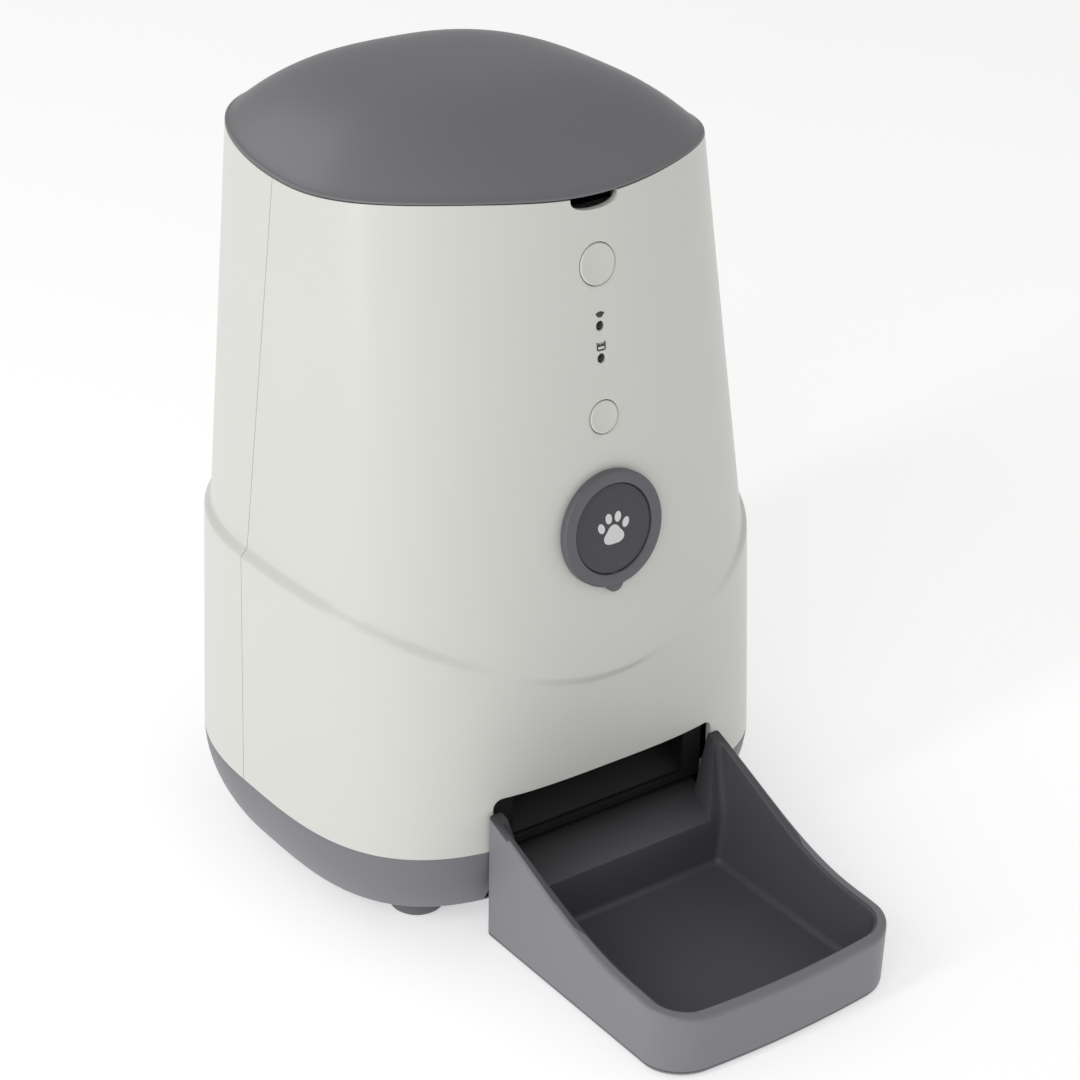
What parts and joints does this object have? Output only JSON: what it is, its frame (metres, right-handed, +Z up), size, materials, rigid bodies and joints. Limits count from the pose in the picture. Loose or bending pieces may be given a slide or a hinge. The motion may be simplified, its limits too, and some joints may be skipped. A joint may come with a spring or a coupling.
{
  "type": "automatic pet feeder",
  "caption": "Automatic dry-food pet feeder: domed lift-off lid, tapered body with front buttons, a raised base, a dosing rotor and chute inside, and a pull-out tray.",
  "frame": {"origin": "on the floor, below the middle of the whole feeder with its tray in", "axes": "+X to the right when the tray points towards the viewer, -Y towards the tray, +Y towards the back, +Z up"},
  "size_m": [0.2072, 0.301, 0.31],
  "materials": {
    "body_shell": "fine satin grain",
    "lid_grey": "fine satin grain",
    "base_grey": "fine satin grain",
    "tray_grey": "fine satin grain",
    "button_grey": "satin",
    "cap_ring": "satin",
    "cap_disc": "satin",
    "light_lens": "smoked lens",
    "inner_white": "smooth",
    "gear_plastic": "smooth",
    "black_plastic": "smooth",
    "foot_rubber": "matt",
    "seal_rubber": "soft matt",
    "wiper_rubber": "soft matt",
    "steel": "ground",
    "motor_steel": "drawn can",
    "brass": "machined",
    "board_green": "solder-resist",
    "cell_sleeve": "printed sleeve without print",
    "contact_metal": "plated spring strip"
  },
  "bodies": {
    "housing": {"front_shell": "body_shell", "rear_shell": "body_shell", "base_pan": "base_grey", "feet": "foot_rubber", "hopper": "inner_white", "chassis": "black_plastic", "dosing_chamber": "inner_white", "chamber_cover": "inner_white", "idler_pin": "steel", "motor": "motor_steel", "gearbox_case": "black_plastic", "gearbox_cover": "black_plastic", "chute": "black_plastic", "food_sensors": "black_plastic", "button_switches": "black_plastic", "button_board": "board_green", "net_light": "light_lens", "food_light": "light_lens", "main_board": "board_green", "board_parts": "black_plastic", "power_inlet": "black_plastic", "battery_box": "black_plastic", "battery_cells": "cell_sleeve", "battery_contacts": "contact_metal", "shell_screws": "steel", "base_screws": "steel", "gearbox_screws": "steel"},
    "lid": {"lid": "lid_grey", "lid_seal": "seal_rubber", "desiccant_cup": "inner_white"},
    "desiccant_cover": {"desiccant_cover": "inner_white"},
    "rotor": {"rotor": "inner_white", "rotor_wipers": "wiper_rubber", "stirrer": "inner_white", "rotor_shaft": "steel", "output_gear": "gear_plastic"},
    "idler": {"idler_gear": "gear_plastic"},
    "motor_rotor": {"motor_pinion": "brass", "motor_shaft": "steel"},
    "tray": {"tray": "tray_grey"},
    "feed_button": {"feed_button": "button_grey"},
    "link_button": {"link_button": "button_grey"},
    "front_cap": {"front_cap": "cap_ring", "front_cap_disc": "cap_disc"},
    "battery_door": {"battery_door": "base_grey"}
  },
  "joints": [
    {"name": "lid_lift", "type": "slide", "parent": "housing", "child": "lid", "axis": [0, 0, 1], "range_m": [0, 0.12]},
    {"name": "desiccant_cover_pull", "type": "slide", "parent": "lid", "child": "desiccant_cover", "axis": [0, 0, -1], "range_m": [0, 0.015]},
    {"name": "tray_pull", "type": "slide", "parent": "housing", "child": "tray", "axis": [0, -1, 0], "range_m": [0, 0.09]},
    {"name": "rotor_spin", "type": "hinge", "parent": "housing", "child": "rotor", "pos_m": [0, 0.05448, 0.1], "axis": [0, 0, 1], "continuous": true},
    {"name": "idler_spin", "type": "hinge", "parent": "housing", "child": "idler", "pos_m": [0, 0.07548, 0.095], "axis": [0, 0, 1], "continuous": true},
    {"name": "motor_spin", "type": "hinge", "parent": "housing", "child": "motor_rotor", "pos_m": [0, 0.09648, 0.095], "axis": [0, 0, 1], "continuous": true},
    {"name": "feed_press", "type": "slide", "parent": "housing", "child": "feed_button", "axis": [0, 0.9917, -0.1284], "range_m": [0, 0.0012], "stiffness_N_per_m": 300, "springref_m": -0.0005},
    {"name": "link_press", "type": "slide", "parent": "housing", "child": "link_button", "axis": [0, 0.9917, -0.1284], "range_m": [0, 0.0012], "stiffness_N_per_m": 300, "springref_m": -0.0005},
    {"name": "front_cap_pull", "type": "slide", "parent": "housing", "child": "front_cap", "axis": [0, -0.9917, 0.1284], "range_m": [0, 0.015]},
    {"name": "battery_door_drop", "type": "slide", "parent": "housing", "child": "battery_door", "axis": [0, 0, -1], "range_m": [0, 0.008]}
  ],
  "couplings": [
    {"joint": "idler_spin", "follows": "rotor_spin", "ratio": -2.5},
    {"joint": "motor_spin", "follows": "rotor_spin", "ratio": 6.25}
  ]
}
